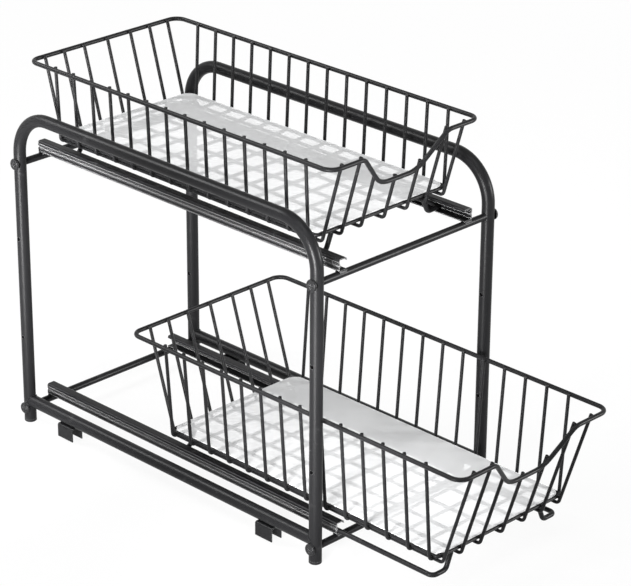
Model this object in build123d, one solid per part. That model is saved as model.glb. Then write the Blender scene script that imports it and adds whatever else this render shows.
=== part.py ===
from build123d import *
import os
from math import acos, atan2, cos, hypot, radians, sin, tan

os.makedirs("parts", exist_ok=True)

# Side frames
tube_d = 13.0
frame_width = 237.0
frame_depth = 429.0
top_tube_height = 350.0
frame_bend = 45.0
bottom_tube_height = 24.5

# Feet
foot_collar_height = 3.0
foot_edge_round = 1.0
foot_stem_d = 10.8
foot_stem_length = 9.0
foot_socket_d = 10.9
foot_socket_depth = 9.5

# Crossbars and bolts
bar_d = 7.5
lower_bar_height = 16.5
upper_bar_drop = 11.0
lower_hole_share = 0.30
upper_hole_share = 0.70
leg_hole_d = 4.4
bolt_d = 4.0
bolt_bore_d = 4.06
bolt_reach = 12.0
bolt_bore_spare = 1.5
bolt_head_d = 12.4
bolt_head_height = 2.5
bolt_head_round = 1.9
recess_width = 1.2
recess_span = 5.4
recess_depth = 1.1

# Rails
rail_inset = 26.5
rail_width = 10.5
rail_height = 13.0
rail_sheet = 1.0
rail_lip = 3.0
rail_overhang = 2.5
rail_round = 2.2
rail_groove_width = 3.2
rail_groove_depth = 0.8
weld_gap = 0.02

# Saddle clips under the bottom tubes
clip_length = 23.0
clip_width = 14.0
clip_sheet = 1.2
clip_floor_gap = 3.0
clip_bend = 2.0
clip_inset = 65.0

# Baskets
side_flare_share = 0.165
end_flare_share = 0.40
rim_wire_d = 4.6
rim_corner = 12.0
ring_overhang = 0.5
ring_half_length = 184.5
ring_wire_d = 3.6
ring_corner = 4.0
rib_d = 3.5
rib_bend = 5.0
rib_top_rise = 1.6
cross_rib_count = 14
cross_rib_inset = 6.5
long_rib_shares = (0, 0.355, 0.655, 0.94)
upper_basket_depth = 75.5
lower_basket_depth = 100.5
dip_depth = 36.0
dip_half_top = 57.0
dip_half_bottom = 25.0
dip_top_bend = 12.0
dip_bottom_bend = 26.0

# Runners and liners
runner_d = 5.0
runner_play = 0.05
runner_side_play = 0.2
runner_drop = 23.0
runner_bend = 6.0
runner_inward = 18.0
runner_tip_gap = 0.9
liner_thickness = 1.0
liner_corner = 12.0

# How far the lower basket stands out
lower_pull = 162.0

# Derived positions
leg_x = frame_width / 2
leg_y = frame_depth / 2
tube_r = tube_d / 2
upper_bar_height = top_tube_height - frame_bend - upper_bar_drop
bar_span = upper_bar_height - lower_bar_height
hole_heights = [
    lower_bar_height,
    lower_bar_height + bar_span * lower_hole_share,
    lower_bar_height + bar_span * upper_hole_share,
    upper_bar_height,
]
cope_d = tube_d + 2 * weld_gap
touch_rim = (rim_wire_d + rib_d) / 2 + weld_gap
touch_ring = (ring_wire_d + rib_d) / 2 + weld_gap
rail_offset = leg_x - rail_inset
runner_x = rail_offset - rail_sheet - runner_side_play - runner_d / 2
ring_half_width = runner_x + ring_overhang
cross_rib_reach = ring_half_length - cross_rib_inset
long_rib_offsets = [ring_half_width * share for share in long_rib_shares]


def rail_base(bar_height):
    return bar_height + bar_d / 2 + weld_gap


def runner_height(bar_height):
    return rail_base(bar_height) + rail_sheet + runner_play + runner_d / 2


def ring_height(bar_height):
    return runner_height(bar_height) + runner_drop


def rim_half_width(depth):
    return ring_half_width + depth * side_flare_share


def rim_half_length(depth):
    return ring_half_length + depth * end_flare_share


# The origin lies under the middle of the whole outline, lower basket pulled out
front_reach = lower_pull + rim_half_length(lower_basket_depth) + rim_wire_d / 2
rear_reach = leg_y + tube_r
origin_shift = (front_reach - rear_reach) / 2


# A run through corner points, each inner corner rounded by its own bend
def bent_path(corners, bends):
    corners = [Vector(*corner) for corner in corners]
    edges = []
    start = corners[0]
    for before, corner, after, bend in zip(corners, corners[1:], corners[2:], bends):
        back = (before - corner).normalized()
        onward = (after - corner).normalized()
        half_angle = radians(back.get_angle(onward)) / 2
        reach = bend / tan(half_angle)
        rise = bend / sin(half_angle) - bend
        enter = corner + back * reach
        leave = corner + onward * reach
        middle = corner + (back + onward).normalized() * rise
        edges.append(Line(start, enter))
        edges.append(ThreePointArc(enter, middle, leave))
        start = leave
    edges.append(Line(start, corners[-1]))
    return Wire([edge for line in edges for edge in line.edges()])


def rod(corners, bends, diameter):
    path = bent_path(corners, bends)
    section = Plane(origin=path @ 0, z_dir=path % 0) * Circle(diameter / 2)
    return sweep(section, path=path)


def mirrored(shape):
    return mirror(shape, about=Plane.YZ)


def x_cylinder(diameter, length):
    return Rot(0, 90, 0) * Cylinder(diameter / 2, length)


def y_cylinder(diameter, length):
    return Rot(90, 0, 0) * Cylinder(diameter / 2, length)


# Side frame: one bent tube with two legs and the holes for the bars
def side_frame():
    corners = [
        (leg_x, -leg_y, foot_collar_height),
        (leg_x, -leg_y, top_tube_height),
        (leg_x, leg_y, top_tube_height),
        (leg_x, leg_y, foot_collar_height),
    ]
    frame = rod(corners, [frame_bend, frame_bend], tube_d)
    socket_height = foot_collar_height + foot_socket_depth / 2
    for y in (-leg_y, leg_y):
        frame -= Pos(leg_x, y, socket_height) * Cylinder(foot_socket_d / 2, foot_socket_depth)
        for z in hole_heights:
            frame -= Pos(leg_x, y, z) * x_cylinder(leg_hole_d, 2 * tube_d)
    return frame


def bottom_tube():
    tube = Pos(leg_x, 0, bottom_tube_height) * y_cylinder(tube_d, frame_depth)
    for y in (-leg_y, leg_y):
        tube -= Pos(leg_x, y, bottom_tube_height) * Cylinder(cope_d / 2, 2 * tube_d)
    return tube


def foot_cap():
    collar = Pos(0, 0, foot_collar_height / 2) * Cylinder(tube_r, foot_collar_height)
    collar = fillet(collar.edges().sort_by(Axis.Z)[0], foot_edge_round)
    stem_height = foot_collar_height + foot_stem_length / 2
    return collar + Pos(0, 0, stem_height) * Cylinder(foot_stem_d / 2, foot_stem_length)


# Crossbar with saddle-cut ends and a bore for the bolt in each end
def crossbar(y, z):
    bar = Pos(0, y, z) * x_cylinder(bar_d, frame_width)
    bore_depth = tube_r + bolt_reach + bolt_bore_spare
    for side in (-1, 1):
        bar -= Pos(side * leg_x, y, z) * Cylinder(cope_d / 2, 2 * tube_d)
        bore_x = side * (leg_x - bore_depth / 2)
        bar -= Pos(bore_x, y, z) * x_cylinder(bolt_bore_d, bore_depth)
    return bar


# Pan-head bolt lying along X, head outward on the +X side
def bolt(y, z):
    head_seat = leg_x + tube_r
    shank_end = leg_x - tube_r - bolt_reach
    shank_length = head_seat - shank_end
    head = Cylinder(bolt_head_d / 2, bolt_head_height)
    head = fillet(head.edges().sort_by(Axis.Z)[-1], bolt_head_round)
    recess_height = bolt_head_height / 2 - recess_depth / 2
    for turn in (0, 90):
        slot = Rot(0, 0, turn) * Box(recess_span, recess_width, recess_depth)
        head -= Pos(0, 0, recess_height) * slot
    head = Pos(head_seat + bolt_head_height / 2, y, z) * Rot(0, 90, 0) * head
    shank = Pos(head_seat - shank_length / 2, y, z) * x_cylinder(bolt_d, shank_length)
    return head + shank


# Rail: a channel open toward the basket, with a lip turned down at its upper edge
def rail(bar_height):
    outer = rail_offset
    inner = rail_offset - rail_width
    low = rail_base(bar_height)
    high = low + rail_height
    middle = (low + high) / 2
    groove = rail_groove_width / 2
    profile = Plane.XZ * Polygon(
        (outer, low),
        (outer, middle - groove),
        (outer - rail_groove_depth, middle),
        (outer, middle + groove),
        (outer, high),
        (inner, high),
        (inner, high - rail_lip),
        (inner + rail_sheet, high - rail_lip),
        (inner + rail_sheet, high - rail_sheet),
        (outer - rail_sheet, high - rail_sheet),
        (outer - rail_sheet, middle + groove),
        (outer - rail_sheet - rail_groove_depth, middle),
        (outer - rail_sheet, middle - groove),
        (outer - rail_sheet, low + rail_sheet),
        (inner, low + rail_sheet),
        (inner, low),
        align=None,
    )
    corner_points = [(outer, low), (outer, high), (inner, high)]
    rounded = [
        vertex
        for vertex in profile.vertices()
        if any(abs(vertex.X - x) + abs(vertex.Z - z) < weld_gap / 2 for x, z in corner_points)
    ]
    profile = fillet(rounded, rail_round)
    half_length = leg_y + rail_overhang
    return Pos(0, half_length, 0) * extrude(profile, 2 * half_length)


# Saddle clip: an upside-down channel hanging under the bottom tube
def saddle_clip(y):
    high = bottom_tube_height - tube_r - weld_gap
    height = high - clip_floor_gap
    centre_height = high - height / 2
    clip = Box(clip_width, clip_length, height)
    clip = fillet(clip.edges().filter_by(Axis.Y).group_by(Axis.Z)[-1], clip_bend)
    hollow = Box(clip_width - 2 * clip_sheet, 2 * clip_length, height)
    clip -= Pos(0, 0, -clip_sheet) * hollow
    return Pos(leg_x, y, centre_height) * clip


# Depth of the front scoop below the rim at a distance from the middle
def scoop_depth(x):
    if abs(x) >= dip_half_top:
        return 0
    if abs(x) <= dip_half_bottom:
        return dip_depth
    return dip_depth * (dip_half_top - abs(x)) / (dip_half_top - dip_half_bottom)


# Lean of a rib that passes two points at set distances, one inside the rim and one outside its foot
def rib_lean(spread, rise, clearances):
    return acos(clearances / hypot(spread, rise)) - atan2(rise, spread)


def long_rib_lean(depth):
    return rib_lean(depth * end_flare_share, depth, touch_rim + touch_ring)


def cross_rib_lean(depth):
    rise = depth + touch_ring - rib_bend
    return rib_lean(depth * side_flare_share, rise, touch_rim + rib_bend)


def rim(height, depth):
    lean = tan(long_rib_lean(depth))
    half_width = rim_half_width(depth)
    half_length = rim_half_length(depth)

    def front(x):
        drop = scoop_depth(x)
        return (x, -half_length + drop * lean, height - drop)

    corners = [
        front(0),
        front(dip_half_bottom),
        front(dip_half_top),
        (half_width, -half_length, height),
        (half_width, half_length, height),
        (0, half_length, height),
    ]
    bends = [dip_bottom_bend, dip_top_bend, rim_corner, rim_corner]
    half = rod(corners, bends, rim_wire_d)
    return half + mirrored(half)


def base_ring(height):
    corners = [
        (0, -ring_half_length, height),
        (ring_half_width, -ring_half_length, height),
        (ring_half_width, ring_half_length, height),
        (0, ring_half_length, height),
    ]
    half = rod(corners, [ring_corner, ring_corner], ring_wire_d)
    return half + mirrored(half)


# Ribs across the basket: down one side, under the ring and up the other
def cross_rib(height, depth):
    floor = height - touch_ring
    top = height + depth + rib_top_rise
    lean = cross_rib_lean(depth)
    corner_x = ring_half_width + rib_bend / cos(lean) - rib_bend * tan(lean)
    end_x = corner_x + (top - floor) * tan(lean)
    corners = [
        (-end_x, 0, top),
        (-corner_x, 0, floor),
        (corner_x, 0, floor),
        (end_x, 0, top),
    ]
    return rod(corners, [rib_bend, rib_bend], rib_d)


def cross_ribs(height, depth):
    pitch = 2 * cross_rib_reach / (cross_rib_count - 1)
    rib = cross_rib(height, depth)
    return [Pos(0, -cross_rib_reach + pitch * index, 0) * rib for index in range(cross_rib_count)]


# Ribs along the basket: from the rear rim under the ring to the front rim
def long_rib(x, height, depth):
    lean = long_rib_lean(depth)
    slope = tan(lean)
    floor = height - touch_ring - rib_d - weld_gap
    line_y = ring_half_length + touch_ring / cos(lean)
    corner_y = line_y - slope * (height - floor)

    def end(drop):
        top = height + depth - drop + rib_top_rise
        return line_y + slope * (top - height), top

    front_y, front_top = end(scoop_depth(x))
    rear_y, rear_top = end(0)
    corners = [
        (x, -front_y, front_top),
        (x, -corner_y, floor),
        (x, corner_y, floor),
        (x, rear_y, rear_top),
    ]
    return rod(corners, [rib_bend, rib_bend], rib_d)


def long_ribs(height, depth):
    ribs = [long_rib(0, height, depth)]
    for x in long_rib_offsets[1:]:
        ribs += [long_rib(-x, height, depth), long_rib(x, height, depth)]
    return ribs


# Runner: a long run inside the rail, both ends bent inward and up to the outermost cross ribs
def runner(height):
    low = height - runner_drop
    bend_x = runner_x - runner_inward
    end_x = long_rib_offsets[-2] + (rib_d + runner_d) / 2 + runner_tip_gap
    rib_under = height - touch_ring - rib_d / 2 - weld_gap
    slant = atan2(bend_x - end_x, rib_under - low - runner_d / 2)
    high = rib_under - sin(slant) * runner_d / 2
    reach = cross_rib_reach
    corners = [
        (end_x, -reach, high),
        (bend_x, -reach, low),
        (runner_x, -reach, low),
        (runner_x, reach, low),
        (bend_x, reach, low),
        (end_x, reach, high),
    ]
    return rod(corners, [runner_bend] * 4, runner_d)


# Liner: a thin sheet lying on the base ring
def liner(height):
    low = height + ring_wire_d / 2
    outline = RectangleRounded(2 * ring_half_width, 2 * ring_half_length, liner_corner)
    return Pos(0, 0, low) * extrude(outline, liner_thickness)


def save(name, shapes):
    placed = [Pos(0, origin_shift, 0) * shape for shape in shapes]
    solids = [solid for shape in placed for solid in shape.solids()]
    shape = solids[0] if len(solids) == 1 else Compound(children=solids)
    export_step(shape, f"parts/{name}.step")


def save_pair(name, shape):
    save(f"right_{name}", [shape])
    save(f"left_{name}", [mirrored(shape)])


def save_frame():
    save_pair("side_frame", side_frame())
    save_pair("bottom_tube", bottom_tube())
    for level, height in (("lower", lower_bar_height), ("upper", upper_bar_height)):
        bolts = []
        for end, y in (("front", -leg_y), ("rear", leg_y)):
            save(f"{level}_{end}_crossbar", [crossbar(y, height)])
            bolts += [bolt(y, height), mirrored(bolt(y, height))]
        save(f"{level}_bar_bolts", bolts)
        save(f"{level}_right_rail", [rail(height)])
        save(f"{level}_left_rail", [mirrored(rail(height))])
    caps = [Pos(x, y, 0) * foot_cap() for x in (-leg_x, leg_x) for y in (-leg_y, leg_y)]
    save("foot_caps", caps)
    clip_y = leg_y - clip_inset
    clips = [saddle_clip(-clip_y), saddle_clip(clip_y)]
    save("right_saddle_clips", clips)
    save("left_saddle_clips", [mirrored(clip) for clip in clips])


def save_basket(level, bar_height, depth, pull):
    height = ring_height(bar_height)
    place = Pos(0, -pull, 0)
    pieces = {
        "rim": [rim(height + depth, depth)],
        "base_ring": [base_ring(height)],
        "cross_wires": cross_ribs(height, depth),
        "long_wires": long_ribs(height, depth),
        "right_runner": [runner(height)],
        "left_runner": [mirrored(runner(height))],
        "liner": [liner(height)],
    }
    for name, shapes in pieces.items():
        save(f"{level}_basket_{name}", [place * shape for shape in shapes])


save_frame()
save_basket("upper", upper_bar_height, upper_basket_depth, 0)
save_basket("lower", lower_bar_height, lower_basket_depth, lower_pull)
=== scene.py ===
import math

import bpy
from mathutils import Matrix, Vector


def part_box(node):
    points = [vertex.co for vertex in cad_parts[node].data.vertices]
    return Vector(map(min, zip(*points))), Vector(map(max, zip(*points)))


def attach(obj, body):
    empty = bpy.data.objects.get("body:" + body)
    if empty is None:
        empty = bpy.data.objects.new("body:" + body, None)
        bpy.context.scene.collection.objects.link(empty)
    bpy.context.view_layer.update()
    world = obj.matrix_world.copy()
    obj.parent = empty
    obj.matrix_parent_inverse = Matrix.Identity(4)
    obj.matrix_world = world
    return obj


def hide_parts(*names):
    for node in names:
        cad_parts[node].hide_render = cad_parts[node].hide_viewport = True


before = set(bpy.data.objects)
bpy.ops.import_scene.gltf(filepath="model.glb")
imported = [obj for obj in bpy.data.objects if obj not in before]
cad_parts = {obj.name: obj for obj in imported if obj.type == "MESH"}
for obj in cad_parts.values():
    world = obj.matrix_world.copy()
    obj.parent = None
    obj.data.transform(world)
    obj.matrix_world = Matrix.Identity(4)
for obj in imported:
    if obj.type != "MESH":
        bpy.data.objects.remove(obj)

bl_info = {
    "name": "Under Sink Organizer",
    "version": (1, 0, 0),
    "blender": (4, 5, 0),
    "location": "View3D > Sidebar > Organizer",
    "description": "Dresses a two-tier pull-out organizer and sets it on a studio floor",
    "category": "Object",
}

LEVELS = ("upper", "lower")
SIDES = ("left", "right")
ENDS = ("front", "rear")
MILLIMETRE = 0.001
SAME_HEIGHT = 0.001 * MILLIMETRE
ROUND_PIECE_ANGLE = math.radians(80)
SHEET_ANGLE = math.radians(60)

# A basket's wires across, the places of its wires along as shares of its half width,
# and the scoop of its front rim
CROSS_WIRES = 14
LONG_WIRE_SHARES = (0.0, 0.355, 0.655, 0.94)
SCOOP_DEPTH = 36.0 * MILLIMETRE
SCOOP_HALF_TOP = 57.0 * MILLIMETRE
SCOOP_HALF_BOTTOM = 25.0 * MILLIMETRE

# Weld beads: ripples round a tube, and shares of the bead, the tube or the bar they lie on
TUBE_BEAD_RIPPLES = 24
TUBE_BEAD_RIPPLE_SHARE = 0.025
TUBE_BEAD_SINK_SHARE = 0.985
RAIL_BEAD_LENGTH = 9.0 * MILLIMETRE
RAIL_BEAD_SINK_SHARE = 0.35
RAIL_BEAD_ROUND_SHARE = 0.35
RAIL_BEAD_FLANK_SHARE = 0.72

# Textures of coat and liner: noise scales and the span of noise that each effect uses
RIPPLE_SCALE = 260.0
RIPPLE_SHARE = 0.8
PATCH_SCALE = 14.0
PATCH_SPAN = (0.3, 0.7)
RUB_SCALE = 70.0
RUB_SPAN = (0.60, 0.78)
# Lighter coat colour and edge mask: rub marks, worn edges and painted highlights on edges and
# rail ribs
WEAR_AND_HIGHLIGHT_LIGHTENING = 3.0
EDGE_REACH = 0.7 * MILLIMETRE
EDGE_WEAR_AND_HIGHLIGHT = 0.9
COAT_RELIEF = 0.25 * MILLIMETRE
COAT_SPECULAR = 0.095
COAT_GLOSS_SWING = (-0.04, 0.05)
LINER_GRAIN_SCALE = 650.0
LINER_RELIEF = 0.3 * MILLIMETRE
LINER_BUMP = 0.12
LINER_GLOSS = (0.38, 0.5)
LINER_COVER_SWING = 0.02
LINER_RUB_AMOUNT = 0.35
LINER_RUB_SHADE = 0.94

# Painted highlight lines along the rails, where light would catch their rolled ribs, at the same
# heights of a rail on both levels; the rails' edge mask is also made stronger for painted edge
# highlights
LEVEL_SPACING = 277.5 * MILLIMETRE
RIB_PITCH = LEVEL_SPACING / 70
RIB_PHASE = -0.472
RIB_HIGHLIGHT_SPAN = (0.93, 0.995)
RIB_HIGHLIGHT_BRIGHTNESS = 0.9
FOLD_EDGE_START = 0.997
FOLD_EDGE_FULL = 0.965

# Colours and roughness of the small pieces and the wire
WIRE_GLOSS = 0.36
SCREW_COLOUR = (0.010, 0.010, 0.0105)
SCREW_GLOSS = 0.34
FOOT_COLOUR = (0.008, 0.008, 0.0085)
FOOT_GLOSS = 0.55
BEAD_EXTRA_GLOSS = 0.06

# Floor and sky: near the object the floor shines a little less, which leaves room for the shadow
WHITE = (1.0, 1.0, 1.0, 1.0)
FLOOR_COLOUR = (0.9, 0.9, 0.9, 1.0)
FLOOR_GLOSS = 0.85
FLOOR_SPECULAR = 0.1
FLOOR_DROP = 0.3 * MILLIMETRE
FLOOR_FADE_REACH = (0.8, 2.4)
FLOOR_GLOW_SHARES = (0.9, 1.0)
SKY_STRENGTH = 0.2

# Soft lamps aimed at the middle of the object: name, place, edge length, watts
STUDIO_MIDDLE = Vector((0.0, 0.0, 0.2))
SOFT_LAMPS = (
    ("tube_lamp", (-1.2, 1.9, 2.0), 0.9, 58.0),
    ("bar_lamp", (2.95, -3.4, 1.0), 1.25, 230.0),
    ("top_lamp", (-0.6, -0.8, 2.8), 1.6, 30.0),
)

# Narrow upright lamps that give the near legs their band of light
LEG_STRIP_OFFSET = Vector((-0.325, -0.131, 0.0))
LEG_STRIP_HEIGHT = 0.21
LEG_STRIP_SIZE = (0.11, 0.4)
LEG_STRIP_WATTS = 2.2
LEG_STRIP_SPREAD = math.radians(70)

# Camera: sensor width in millimetres, reach in metres
SENSOR_WIDTH = 36.0
VIEW_REACH = 60.0


# Selection and mesh helpers


def deselect_everything():
    if bpy.context.object and bpy.context.object.mode != "OBJECT":
        bpy.ops.object.mode_set(mode="OBJECT")
    bpy.ops.object.select_all(action="DESELECT")


def make_active(piece):
    deselect_everything()
    piece.select_set(True)
    bpy.context.view_layer.objects.active = piece


def select_edges(piece, wanted):
    """Leaves edit mode with only the edges selected whose two ends satisfy wanted."""
    bpy.ops.object.mode_set(mode="EDIT")
    bpy.ops.mesh.select_mode(type="EDGE")
    bpy.ops.mesh.select_all(action="DESELECT")
    bpy.ops.object.mode_set(mode="OBJECT")
    for edge in piece.data.edges:
        ends = [piece.data.vertices[index].co for index in edge.vertices]
        edge.select = wanted(*ends)
    bpy.ops.object.mode_set(mode="EDIT")


def place_in_mesh(piece):
    make_active(piece)
    bpy.ops.object.transform_apply(location=True, rotation=True, scale=True)


def smooth(piece, angle):
    make_active(piece)
    bpy.ops.object.shade_smooth_by_angle(angle=angle)


def give_material(piece, material):
    piece.data.materials.clear()
    piece.data.materials.append(material)


def copy_of(piece):
    twin = piece.copy()
    twin.data = piece.data.copy()
    bpy.context.scene.collection.objects.link(twin)
    return twin


def joined(copies, name):
    """One object made of all the copies, with its place in its mesh."""
    make_active(copies[0])
    for twin in copies:
        twin.select_set(True)
    bpy.ops.object.join()
    whole = bpy.context.object
    whole.name = name
    place_in_mesh(whole)
    return whole


def scatter(model, places, name):
    """A copy of the model at each place and turn, joined into one piece."""
    copies = []
    for place, turn in places:
        twin = copy_of(model)
        twin.matrix_world = Matrix.Translation(place) @ turn
        copies.append(twin)
    bpy.data.objects.remove(model)
    bpy.context.view_layer.update()
    return joined(copies, name)


def middle_of(node):
    low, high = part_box(node)
    return (low + high) / 2


def size_of(node):
    low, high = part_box(node)
    return high - low


def scoop_depth(x):
    """How far the front rim hangs below its ends at a distance from the middle."""
    share = (SCOOP_HALF_TOP - abs(x)) / (SCOOP_HALF_TOP - SCOOP_HALF_BOTTOM)
    return SCOOP_DEPTH * min(1.0, max(0.0, share))


# Shared surface effects


def feed(links, node, values):
    """Gives each named or numbered input of a node its socket or plain value."""
    for label, value in values.items():
        if isinstance(value, bpy.types.NodeSocket):
            links.new(value, node.inputs[label])
        else:
            node.inputs[label].default_value = value


def new_group(name, inputs, outputs):
    """A node group with number sockets: inputs as (label, value), outputs as labels."""
    group = bpy.data.node_groups.new(name, "ShaderNodeTree")
    for label, value in inputs:
        socket = group.interface.new_socket(
            name=label, in_out="INPUT", socket_type="NodeSocketFloat"
        )
        socket.default_value = value
    for label in outputs:
        group.interface.new_socket(name=label, in_out="OUTPUT", socket_type="NodeSocketFloat")
    return group


def add_math(nodes, links, operation, *values):
    step = nodes.new("ShaderNodeMath")
    step.operation = operation
    feed(links, step, dict(enumerate(values)))
    return step.outputs[0]


def add_noise(nodes, links, place, scale, detail, roughness=0.5):
    noise = nodes.new("ShaderNodeTexNoise")
    values = {"Vector": place, "Scale": scale, "Detail": detail, "Roughness": roughness}
    feed(links, noise, values)
    return noise.outputs["Fac"]


def add_range(nodes, links, value, low, high, to_low, to_high):
    """Brings a value from between low and high to between to_low and to_high."""
    remap = nodes.new("ShaderNodeMapRange")
    limits = {"From Min": low, "From Max": high, "To Min": to_low, "To Max": to_high}
    feed(links, remap, {"Value": value, **limits})
    return remap.outputs["Result"]


def add_edge_mask(nodes, links, start, full):
    """White where a sharp edge lies nearby, found by how far a rounded normal strays."""
    rounded = nodes.new("ShaderNodeBevel")
    rounded.samples = 6
    rounded.inputs["Radius"].default_value = EDGE_REACH
    flat = nodes.new("ShaderNodeNewGeometry")
    agree = nodes.new("ShaderNodeVectorMath")
    agree.operation = "DOT_PRODUCT"
    feed(links, agree, {0: rounded.outputs["Normal"], 1: flat.outputs["Normal"]})
    # The mask lightens worn edges and paints edge highlights
    return add_range(nodes, links, agree.outputs["Value"], start, full, 0.0, EDGE_WEAR_AND_HIGHLIGHT)


def coat_grain_group():
    """Fine orange-peel height, a slow change of gloss, and masks of rub marks and of edges, for
    worn edges and painted edge highlights.
    """
    group = new_group(
        "coat_grain",
        [("Grain Scale", 900.0), ("Rub Amount", 0.3), ("Edge Start", 0.985), ("Edge Full", 0.80)],
        ["Height", "Gloss Change", "Rub Mask", "Edge Mask"],
    )
    nodes, links = group.nodes, group.links
    source = nodes.new("NodeGroupInput").outputs
    result = nodes.new("NodeGroupOutput")
    place = nodes.new("ShaderNodeTexCoord").outputs["Object"]
    grain = add_noise(nodes, links, place, source["Grain Scale"], 3.0, 0.6)
    ripple = add_noise(nodes, links, place, RIPPLE_SCALE, 2.0)
    patches = add_noise(nodes, links, place, PATCH_SCALE, 3.0)
    rubs = add_noise(nodes, links, place, RUB_SCALE, 5.0, 0.7)
    marks = add_range(nodes, links, rubs, *RUB_SPAN, 0.0, 1.0)
    masks = {
        "Height": add_math(nodes, links, "MULTIPLY_ADD", ripple, RIPPLE_SHARE, grain),
        "Gloss Change": add_range(nodes, links, patches, *PATCH_SPAN, 0.0, 1.0),
        "Rub Mask": add_math(nodes, links, "MULTIPLY", marks, source["Rub Amount"]),
        "Edge Mask": add_edge_mask(nodes, links, source["Edge Start"], source["Edge Full"]),
    }
    feed(links, result, masks)
    return group


def new_material(name):
    material = bpy.data.materials.new(name)
    material.use_nodes = True
    nodes = material.node_tree.nodes
    return material, nodes, material.node_tree.links, nodes["Principled BSDF"]


def place_grain(nodes, links, grain, scale, rub):
    effect = nodes.new("ShaderNodeGroup")
    effect.node_tree = grain
    feed(links, effect, {"Grain Scale": scale, "Rub Amount": rub})
    return effect


def add_tint(nodes, links, share, colour, marked_colour):
    """The colour, or the marked colour where share is one: rub marks, and on the coat also worn
    edges and painted highlights.
    """
    tint = nodes.new("ShaderNodeMix")
    tint.data_type = "RGBA"
    feed(links, tint, {"Factor": share, "A": (*colour, 1.0), "B": (*marked_colour, 1.0)})
    return tint.outputs["Result"]


def add_relief(nodes, links, height, strength, distance):
    relief = nodes.new("ShaderNodeBump")
    feed(links, relief, {"Strength": strength, "Distance": distance, "Height": height})
    return relief.outputs["Normal"]


def add_rib_highlight_lines(nodes, links):
    """Painted highlight: white on thin level lines, where light would catch the ribs rolled along
    the rails.
    """
    rib_highlight_bands = nodes.new("ShaderNodeTexWave")
    rib_highlight_bands.wave_type = "BANDS"
    rib_highlight_bands.bands_direction = "Z"
    place = nodes.new("ShaderNodeTexCoord").outputs["Object"]
    values = {"Vector": place, "Scale": math.pi / (10 * RIB_PITCH), "Phase Offset": RIB_PHASE}
    feed(links, rib_highlight_bands, values)
    return add_range(nodes, links, rib_highlight_bands.outputs["Fac"], *RIB_HIGHLIGHT_SPAN, 0.0, RIB_HIGHLIGHT_BRIGHTNESS)


def coated_surface(name, grain, colour, gloss, bump, scale, rub=0.25, edge=0.05, painted_rib_highlights=False):
    """Powder coat, moulded plastic or coated screw: a colour, a lighter colour for rub marks,
    worn edges and painted edge highlights, and a grain.
    """
    material, nodes, links, shader = new_material(name)
    effect = place_grain(nodes, links, grain, scale, rub)
    shown = effect.outputs
    # Rub marks, worn edges and painted edge highlights share the lighter colour
    wear_and_highlight_mask = add_math(nodes, links, "MAXIMUM", shown["Rub Mask"], shown["Edge Mask"])
    # On rails the edge mask is made stronger for painted edge highlights, and painted highlight
    # lines along the ribs join the lighter marks
    if painted_rib_highlights:
        feed(links, effect, {"Edge Start": FOLD_EDGE_START, "Edge Full": FOLD_EDGE_FULL})
        wear_and_highlight_mask = add_math(nodes, links, "MAXIMUM", wear_and_highlight_mask, add_rib_highlight_lines(nodes, links))
    marked_colour = [min(1.0, part * WEAR_AND_HIGHLIGHT_LIGHTENING + edge) for part in colour]
    low, high = [gloss + swing for swing in COAT_GLOSS_SWING]
    looks = {
        "Base Color": add_tint(nodes, links, wear_and_highlight_mask, colour, marked_colour),
        "Roughness": add_range(nodes, links, shown["Gloss Change"], 0.0, 1.0, low, high),
        "Specular IOR Level": COAT_SPECULAR,
        "Normal": add_relief(nodes, links, shown["Height"], bump, COAT_RELIEF),
    }
    feed(links, shader, looks)
    return material


def frosted_liner(name, grain, colour, cover):
    """Milky plastic sheet through which the wires beneath show faintly."""
    material, nodes, links, shader = new_material(name)
    shown = place_grain(nodes, links, grain, LINER_GRAIN_SCALE, LINER_RUB_AMOUNT).outputs
    change = shown["Gloss Change"]
    marked_colour = [part * LINER_RUB_SHADE for part in colour]
    low, high = cover - LINER_COVER_SWING, cover + LINER_COVER_SWING
    looks = {
        "Base Color": add_tint(nodes, links, shown["Rub Mask"], colour, marked_colour),
        "Roughness": add_range(nodes, links, change, 0.0, 1.0, *LINER_GLOSS),
        "Alpha": add_range(nodes, links, change, 0.0, 1.0, low, high),
        "Normal": add_relief(nodes, links, shown["Height"], LINER_BUMP, LINER_RELIEF),
    }
    feed(links, shader, looks)
    return material


def background_rays(nodes, links):
    """One for rays that show the background: seen straight on, in gloss or through glass."""
    path = nodes.new("ShaderNodeLightPath").outputs
    seen = add_math(nodes, links, "MAXIMUM", path["Is Camera Ray"], path["Is Glossy Ray"])
    return add_math(nodes, links, "MAXIMUM", seen, path["Is Transmission Ray"])


def blend_background(nodes, links, share, lit, shining, output):
    """Shows the shining surface to a share of the rays and the lit one to the rest."""
    blend = nodes.new("ShaderNodeMixShader")
    feed(links, blend, {0: share, 1: lit, 2: shining})
    links.new(blend.outputs["Shader"], output.inputs["Surface"])


# Settings that a user would change


class CoatSettings(bpy.types.PropertyGroup):
    tube_colour: bpy.props.FloatVectorProperty(
        name="Tube colour",
        description="Powder coat of the side frames, bars and rails",
        default=(0.007, 0.007, 0.0075),
        size=3,
        subtype="COLOR",
        min=0.0,
        max=1.0,
    )
    wire_colour: bpy.props.FloatVectorProperty(
        name="Wire colour",
        description="Powder coat of the basket wires",
        default=(0.010, 0.010, 0.0106),
        size=3,
        subtype="COLOR",
        min=0.0,
        max=1.0,
    )
    tube_gloss: bpy.props.FloatProperty(
        name="Tube roughness",
        description="Roughness of the coat on tubes",
        default=0.34,
        min=0.0,
        max=1.0,
        subtype="FACTOR",
    )
    liner_colour: bpy.props.FloatVectorProperty(
        name="Liner colour",
        description="Frosted plastic sheet in each basket",
        default=(0.88, 0.885, 0.89),
        size=3,
        subtype="COLOR",
        min=0.0,
        max=1.0,
    )
    liner_cover: bpy.props.FloatProperty(
        name="Liner cover",
        description="How far the liner hides the wires beneath it",
        default=0.45,
        min=0.0,
        max=1.0,
        subtype="FACTOR",
    )


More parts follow.
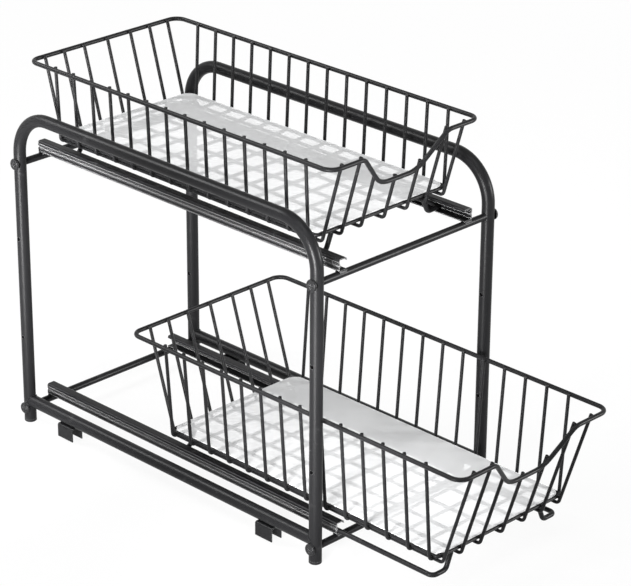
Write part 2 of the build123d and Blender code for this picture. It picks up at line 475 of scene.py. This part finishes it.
class WireSettings(bpy.types.PropertyGroup):
    rib_wire: bpy.props.FloatProperty(
        name="Rib wire",
        description="Diameter of the wires across and along a basket",
        default=3.5 * MILLIMETRE,
        unit="LENGTH",
    )
    ring_wire: bpy.props.FloatProperty(
        name="Ring wire",
        description="Diameter of the base ring's wire",
        default=3.6 * MILLIMETRE,
        unit="LENGTH",
    )
    rim_wire: bpy.props.FloatProperty(
        name="Rim wire",
        description="Diameter of the rim's wire",
        default=4.6 * MILLIMETRE,
        unit="LENGTH",
    )
    nugget_width: bpy.props.FloatProperty(
        name="Nugget width",
        description="Width of the spot weld between two crossing wires",
        default=2.9 * MILLIMETRE,
        unit="LENGTH",
    )
    nugget_height: bpy.props.FloatProperty(
        name="Nugget height",
        description="Height of the spot weld between two crossing wires",
        default=1.8 * MILLIMETRE,
        unit="LENGTH",
    )


class SeamSettings(bpy.types.PropertyGroup):
    bead: bpy.props.FloatProperty(
        name="Bead width",
        description="Width of the weld bead on tubes and rails",
        default=2.0 * MILLIMETRE,
        unit="LENGTH",
    )
    bottom_tube_height: bpy.props.FloatProperty(
        name="Bottom tube height",
        description="Height of the bottom tubes above the floor",
        default=24.5 * MILLIMETRE,
        unit="LENGTH",
    )


class LinerSettings(bpy.types.PropertyGroup):
    corner: bpy.props.FloatProperty(
        name="Corner radius",
        description="Radius of the liner's four corners",
        default=12.0 * MILLIMETRE,
        unit="LENGTH",
    )
    edge_round: bpy.props.FloatProperty(
        name="Edge rounding",
        description="Rounding along the upper and lower edges",
        default=0.35 * MILLIMETRE,
        unit="LENGTH",
    )


class StageSettings(bpy.types.PropertyGroup):
    camera_place: bpy.props.FloatVectorProperty(
        name="Camera place",
        description="Where the camera stands",
        default=(-1.73909, -1.73800, 1.30091),
        size=3,
        subtype="TRANSLATION",
        unit="LENGTH",
    )
    azimuth: bpy.props.FloatProperty(
        name="Azimuth",
        description="Turn of the view about the vertical",
        default=math.radians(-45.20),
        subtype="ANGLE",
    )
    elevation: bpy.props.FloatProperty(
        name="Elevation",
        description="Tilt of the view below the horizontal",
        default=math.radians(24.00),
        subtype="ANGLE",
    )
    roll: bpy.props.FloatProperty(
        name="Roll",
        description="Turn of the camera about its own line of sight",
        default=math.radians(0.34),
        subtype="ANGLE",
    )
    lens: bpy.props.FloatProperty(
        name="Lens",
        description="Focal length on a 36 mm sensor",
        default=154.43,
        min=10.0,
    )
    floor_size: bpy.props.FloatProperty(
        name="Floor size",
        description="Edge length of the floor sheet",
        default=30.0,
        unit="LENGTH",
    )


# Operators that make the pieces


class ORGANIZER_OT_coat(bpy.types.Operator):
    """Gives every carried-over node its finish"""

    bl_idname = "organizer.coat"
    bl_label = "Coat the Frame and Baskets"

    def execute(self, context):
        coat = context.scene.organizer_coat
        grain = coat_grain_group()
        tube = coated_surface(
            "tube_powder_coat", grain, coat.tube_colour, coat.tube_gloss, bump=0.25, scale=900.0
        )
        # Rails: painted highlight lines along the ribs and stronger painted edge highlights
        rail = coated_surface(
            "rail_powder_coat",
            grain,
            coat.tube_colour,
            coat.tube_gloss,
            bump=0.2,
            scale=1000.0,
            edge=0.17,
            painted_rib_highlights=True,
        )
        wire = coated_surface(
            "wire_powder_coat", grain, coat.wire_colour, WIRE_GLOSS, bump=0.2, scale=1100.0
        )
        screw = coated_surface(
            "coated_screw",
            grain,
            SCREW_COLOUR,
            SCREW_GLOSS,
            bump=0.1,
            scale=1500.0,
            rub=0.4,
            edge=0.06,
        )
        foot = coated_surface(
            "moulded_foot", grain, FOOT_COLOUR, FOOT_GLOSS, bump=0.4, scale=700.0, rub=0.1
        )
        bead_gloss = coat.tube_gloss + BEAD_EXTRA_GLOSS
        coated_surface("weld_bead", grain, coat.tube_colour, bead_gloss, bump=0.5, scale=500.0)
        sheet = frosted_liner("frosted_liner", grain, coat.liner_colour, coat.liner_cover)
        for name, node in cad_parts.items():
            if "bolts" in name:
                give_material(node, screw)
            elif name == "foot_caps":
                give_material(node, foot)
            elif name.endswith("liner"):
                give_material(node, sheet)
            elif "basket" in name:
                give_material(node, wire)
            elif name.endswith("rail"):
                give_material(node, rail)
            else:
                give_material(node, tube)
        return {"FINISHED"}


class ORGANIZER_OT_liners(bpy.types.Operator):
    """Lays a frosted sheet with rounded corners and soft edges in each basket"""

    bl_idname = "organizer.liners"
    bl_label = "Lay the Liners"

    def execute(self, context):
        settings = context.scene.organizer_liner
        for level in LEVELS:
            node = f"{level}_basket_liner"
            deselect_everything()
            bpy.ops.mesh.primitive_cube_add(size=1.0, location=middle_of(node))
            sheet = context.object
            sheet.name = f"{level}_frosted_liner"
            sheet.scale = size_of(node)
            place_in_mesh(sheet)
            select_edges(sheet, lambda a, b: abs(a.z - b.z) > SAME_HEIGHT)
            bpy.ops.mesh.bevel(
                offset=settings.corner, offset_type="OFFSET", segments=10, affect="EDGES"
            )
            bpy.ops.object.mode_set(mode="OBJECT")
            select_edges(sheet, lambda a, b: abs(a.z - b.z) < SAME_HEIGHT)
            bpy.ops.mesh.bevel(
                offset=settings.edge_round, offset_type="OFFSET", segments=3, affect="EDGES"
            )
            bpy.ops.object.mode_set(mode="OBJECT")
            smooth(sheet, SHEET_ANGLE)
            give_material(sheet, bpy.data.materials["frosted_liner"])
            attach(sheet, f"{level}_basket")
            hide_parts(node)
        return {"FINISHED"}


class ORGANIZER_OT_spot_welds(bpy.types.Operator):
    """Sets a spot weld wherever two wires of a basket cross"""

    bl_idname = "organizer.spot_welds"
    bl_label = "Set the Spot Welds"

    def execute(self, context):
        wire = context.scene.organizer_wire
        for level in LEVELS:
            deselect_everything()
            bpy.ops.mesh.primitive_uv_sphere_add(segments=8, ring_count=5, radius=0.5)
            nugget = context.object
            nugget.scale = (wire.nugget_width, wire.nugget_width, wire.nugget_height)
            place_in_mesh(nugget)
            smooth(nugget, ROUND_PIECE_ANGLE)
            welds = scatter(nugget, self.crossings(level, wire), f"{level}_spot_welds")
            give_material(welds, bpy.data.materials["wire_powder_coat"])
            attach(welds, f"{level}_basket")
        return {"FINISHED"}

    def wire_loop(self, node, thickness):
        """Middle and half size of a node, measured on the centre line of its wire."""
        low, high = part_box(node)
        return (low + high) / 2, (high - low) / 2 - Vector((1, 1, 1)) * thickness / 2

    def crossings(self, level, wire):
        """Where wires touch: (place, turn that brings Z onto the line between the two wires)."""
        ring, ring_half = self.wire_loop(f"{level}_basket_base_ring", wire.ring_wire)
        rim, rim_half = self.wire_loop(f"{level}_basket_rim", wire.rim_wire)
        across, across_half = self.wire_loop(f"{level}_basket_cross_wires", wire.rib_wire)
        step = 2 * across_half.y / (CROSS_WIRES - 1)
        rows = [across.y - across_half.y + step * index for index in range(CROSS_WIRES)]
        shares = [-share for share in LONG_WIRE_SHARES[:0:-1]] + list(LONG_WIRE_SHARES)
        columns = [ring_half.x * share for share in shares]
        rim_height = rim.z + rim_half.z
        depth = rim_height - ring.z
        under_ring = ring.z - wire.ring_wire / 2
        between_ribs = under_ring - wire.rib_wire
        upright = Matrix.Identity(4)
        spots = [(Vector((x, y, between_ribs)), upright) for x in columns for y in rows]
        side_lean = math.atan2(rim_half.x - ring_half.x, depth)
        end_lean = math.atan2(rim_half.y - ring_half.y, depth)
        for side in (-1, 1):
            turn = Matrix.Rotation(side * (math.pi / 2 + side_lean), 4, "Y")
            inward = Vector((-side * math.cos(side_lean), 0, math.sin(side_lean)))
            for y in rows:
                spots.append((Vector((side * ring_half.x, y, under_ring)), upright))
                rim_point = Vector((side * rim_half.x, y, rim_height))
                spots.append((rim_point + inward * wire.rim_wire / 2, turn))
        for end in (-1, 1):
            turn = Matrix.Rotation(-end * (math.pi / 2 + end_lean), 4, "X")
            inward = Vector((0, -end * math.cos(end_lean), math.sin(end_lean)))
            for x in columns:
                drop = scoop_depth(x) if end < 0 else 0.0
                ring_point = Vector((x, ring.y + end * ring_half.y, ring.z))
                spots.append((ring_point - inward * wire.ring_wire / 2, turn))
                rim_y = rim.y + end * (rim_half.y - drop * math.tan(end_lean))
                rim_point = Vector((x, rim_y, rim_height - drop))
                spots.append((rim_point + inward * wire.rim_wire / 2, turn))
        return spots


class ORGANIZER_OT_tube_seams(bpy.types.Operator):
    """Lays the weld beads where the bottom tubes meet the legs"""

    bl_idname = "organizer.tube_seams"
    bl_label = "Lay the Tube Seams"

    def execute(self, context):
        seam = context.scene.organizer_seam
        beads = []
        for side in SIDES:
            low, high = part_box(f"{side}_side_frame")
            radius = (high.x - low.x) / 2
            centre_x = (low.x + high.x) / 2
            for end, leg_y in ((1, low.y + radius), (-1, high.y - radius)):
                centre = Vector((centre_x, leg_y, seam.bottom_tube_height))
                beads.append(self.saddle_bead(seam, radius, centre, end))
        seams = joined(beads, "bottom_tube_seams")
        smooth(seams, ROUND_PIECE_ANGLE)
        give_material(seams, bpy.data.materials["weld_bead"])
        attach(seams, "frame")
        return {"FINISHED"}

    def saddle_bead(self, seam, radius, centre, end):
        """A ring round the tube, each half leaned along the leg it meets."""
        deselect_everything()
        bpy.ops.mesh.primitive_torus_add(
            major_radius=radius,
            minor_radius=seam.bead / 2,
            major_segments=64,
            minor_segments=10,
            rotation=(math.pi / 2, 0, 0),
        )
        ring = bpy.context.object
        place_in_mesh(ring)
        for vertex in ring.data.vertices:
            wave = math.sin(TUBE_BEAD_RIPPLES * math.atan2(vertex.co.z, vertex.co.x))
            ripple = 1.0 + TUBE_BEAD_RIPPLE_SHARE * wave
            vertex.co.x *= TUBE_BEAD_SINK_SHARE * ripple
            vertex.co.z *= TUBE_BEAD_SINK_SHARE * ripple
            vertex.co.y = vertex.co.y * ripple + end * abs(vertex.co.z)
        ring.location = centre
        place_in_mesh(ring)
        return ring


class ORGANIZER_OT_bar_seams(bpy.types.Operator):
    """Lays short weld beads under the rails, on both flanks of each crossbar"""

    bl_idname = "organizer.bar_seams"
    bl_label = "Lay the Bar Seams"

    def execute(self, context):
        seam = context.scene.organizer_seam
        places = []
        for level in LEVELS:
            for end in ENDS:
                bar = f"{level}_{end}_crossbar"
                flank = size_of(bar).z / 2 * RAIL_BEAD_FLANK_SHARE
                bead_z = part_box(bar)[1].z - seam.bead * RAIL_BEAD_SINK_SHARE
                for side in SIDES:
                    x = middle_of(f"{level}_{side}_rail").x
                    for step in (-flank, flank):
                        spot = Vector((x, middle_of(bar).y + step, bead_z))
                        places.append((spot, Matrix.Rotation(math.pi / 2, 4, "Y")))
        seams = scatter(self.short_bead(seam), places, "rail_seams")
        smooth(seams, ROUND_PIECE_ANGLE)
        give_material(seams, bpy.data.materials["weld_bead"])
        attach(seams, "frame")
        return {"FINISHED"}

    def short_bead(self, seam):
        """A rod with drawn-in ends."""
        deselect_everything()
        bpy.ops.mesh.primitive_cylinder_add(
            vertices=10, radius=seam.bead / 2, depth=RAIL_BEAD_LENGTH
        )
        bead = bpy.context.object
        bpy.ops.object.mode_set(mode="EDIT")
        bpy.ops.mesh.select_all(action="SELECT")
        rounding = seam.bead * RAIL_BEAD_ROUND_SHARE
        bpy.ops.mesh.bevel(offset=rounding, segments=3, affect="EDGES")
        bpy.ops.object.mode_set(mode="OBJECT")
        return bead


class ORGANIZER_OT_stage(bpy.types.Operator):
    """Sets floor, lamps, sky and camera"""

    bl_idname = "organizer.stage"
    bl_label = "Set the Stage"

    def execute(self, context):
        stage = context.scene.organizer_stage
        context.scene.view_settings.view_transform = "Standard"
        self.lay_floor(stage)
        self.light_sky(context)
        self.hang_lamps()
        self.place_camera(context, stage)
        return {"FINISHED"}

    def lay_floor(self, stage):
        deselect_everything()
        bpy.ops.mesh.primitive_plane_add(size=stage.floor_size, location=(0, 0, -FLOOR_DROP))
        floor = bpy.context.object
        floor.name = "studio_floor"
        place_in_mesh(floor)
        material, nodes, links, shader = new_material("pale_floor")
        looks = {
            "Base Color": FLOOR_COLOUR,
            "Roughness": FLOOR_GLOSS,
            "Specular IOR Level": FLOOR_SPECULAR,
        }
        feed(links, shader, looks)
        glow = nodes.new("ShaderNodeEmission")
        feed(links, glow, {"Color": WHITE, "Strength": 1.0})
        reach = nodes.new("ShaderNodeVectorMath")
        reach.operation = "LENGTH"
        links.new(nodes.new("ShaderNodeTexCoord").outputs["Object"], reach.inputs[0])
        distance = reach.outputs["Value"]
        fade = add_range(nodes, links, distance, *FLOOR_FADE_REACH, *FLOOR_GLOW_SHARES)
        share = add_math(nodes, links, "MULTIPLY", background_rays(nodes, links), fade)
        lit, shining = shader.outputs["BSDF"], glow.outputs["Emission"]
        blend_background(nodes, links, share, lit, shining, nodes["Material Output"])
        give_material(floor, material)

    def light_sky(self, context):
        world = bpy.data.worlds.new("studio_sky")
        context.scene.world = world
        world.use_nodes = True
        nodes, links = world.node_tree.nodes, world.node_tree.links
        soft = nodes["Background"]
        feed(links, soft, {"Color": WHITE, "Strength": SKY_STRENGTH})
        white = nodes.new("ShaderNodeBackground")
        feed(links, white, {"Color": WHITE, "Strength": 1.0})
        share = background_rays(nodes, links)
        lit, shining = soft.outputs["Background"], white.outputs["Background"]
        blend_background(nodes, links, share, lit, shining, nodes["World Output"])

    def hang_lamps(self):
        """A lamp for each run of tube, placed where that run throws its light at the camera."""
        for name, place, edge, watts in SOFT_LAMPS:
            self.hang_lamp(name, Vector(place), STUDIO_MIDDLE, (edge, edge), watts, math.pi)
        for end in ENDS:
            leg = middle_of(f"upper_{end}_crossbar")
            leg.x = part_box("left_side_frame")[0].x
            leg.z = LEG_STRIP_HEIGHT
            name = f"{end}_leg_strip"
            place = leg + LEG_STRIP_OFFSET
            self.hang_lamp(name, place, leg, LEG_STRIP_SIZE, LEG_STRIP_WATTS, LEG_STRIP_SPREAD)

    def hang_lamp(self, name, place, target, size, watts, spread):
        deselect_everything()
        bpy.ops.object.light_add(type="AREA", location=place)
        lamp = bpy.context.object
        lamp.name = name
        lamp.data.shape = "RECTANGLE"
        lamp.data.size, lamp.data.size_y = size
        lamp.data.energy = watts
        lamp.data.spread = spread
        lamp.visible_camera = False
        facing = (target - place).to_track_quat("-Z", "Y")
        lamp.rotation_euler = facing.to_euler()

    def place_camera(self, context, stage):
        deselect_everything()
        bpy.ops.object.camera_add()
        camera = context.object
        camera.name = "photo_camera"
        level = Vector((math.cos(stage.azimuth), math.sin(stage.azimuth), 0.0))
        toward = Vector((math.sin(stage.azimuth), -math.cos(stage.azimuth), 0.0))
        back = toward * math.cos(stage.elevation)
        back.z = math.sin(stage.elevation)
        upright = back.cross(level)
        right = level * math.cos(stage.roll) + upright * math.sin(stage.roll)
        up = upright * math.cos(stage.roll) - level * math.sin(stage.roll)
        turn = Matrix((right, up, back)).transposed().to_4x4()
        camera.matrix_world = Matrix.Translation(stage.camera_place) @ turn
        camera.data.sensor_width = SENSOR_WIDTH
        camera.data.lens = stage.lens
        camera.data.clip_end = VIEW_REACH
        context.scene.camera = camera


class ORGANIZER_PT_panel(bpy.types.Panel):
    """Lists the organizer's settings and steps"""

    bl_idname = "ORGANIZER_PT_panel"
    bl_label = "Under Sink Organizer"
    bl_space_type = "VIEW_3D"
    bl_region_type = "UI"
    bl_category = "Organizer"

    def draw(self, context):
        scene = context.scene
        for settings, steps in (
            (scene.organizer_coat, (ORGANIZER_OT_coat,)),
            (scene.organizer_liner, (ORGANIZER_OT_liners,)),
            (scene.organizer_wire, (ORGANIZER_OT_spot_welds,)),
            (scene.organizer_seam, (ORGANIZER_OT_tube_seams, ORGANIZER_OT_bar_seams)),
            (scene.organizer_stage, (ORGANIZER_OT_stage,)),
        ):
            box = self.layout.box()
            for name in settings.__annotations__:
                box.prop(settings, name)
            for step in steps:
                box.operator(step.bl_idname)


SETTINGS = {
    "organizer_coat": CoatSettings,
    "organizer_liner": LinerSettings,
    "organizer_wire": WireSettings,
    "organizer_seam": SeamSettings,
    "organizer_stage": StageSettings,
}
STEPS = (
    ORGANIZER_OT_coat,
    ORGANIZER_OT_liners,
    ORGANIZER_OT_spot_welds,
    ORGANIZER_OT_tube_seams,
    ORGANIZER_OT_bar_seams,
    ORGANIZER_OT_stage,
)


def register():
    for name, settings in SETTINGS.items():
        bpy.utils.register_class(settings)
        setattr(bpy.types.Scene, name, bpy.props.PointerProperty(type=settings))
    for step in STEPS:
        bpy.utils.register_class(step)
    bpy.utils.register_class(ORGANIZER_PT_panel)


def unregister():
    bpy.utils.unregister_class(ORGANIZER_PT_panel)
    for step in reversed(STEPS):
        bpy.utils.unregister_class(step)
    for name, settings in reversed(SETTINGS.items()):
        delattr(bpy.types.Scene, name)
        bpy.utils.unregister_class(settings)


def main():
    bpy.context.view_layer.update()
    register()
    bpy.ops.organizer.coat()
    bpy.ops.organizer.liners()
    bpy.ops.organizer.spot_welds()
    bpy.ops.organizer.tube_seams()
    bpy.ops.organizer.bar_seams()
    bpy.ops.organizer.stage()


if __name__ == "__main__":
    main()
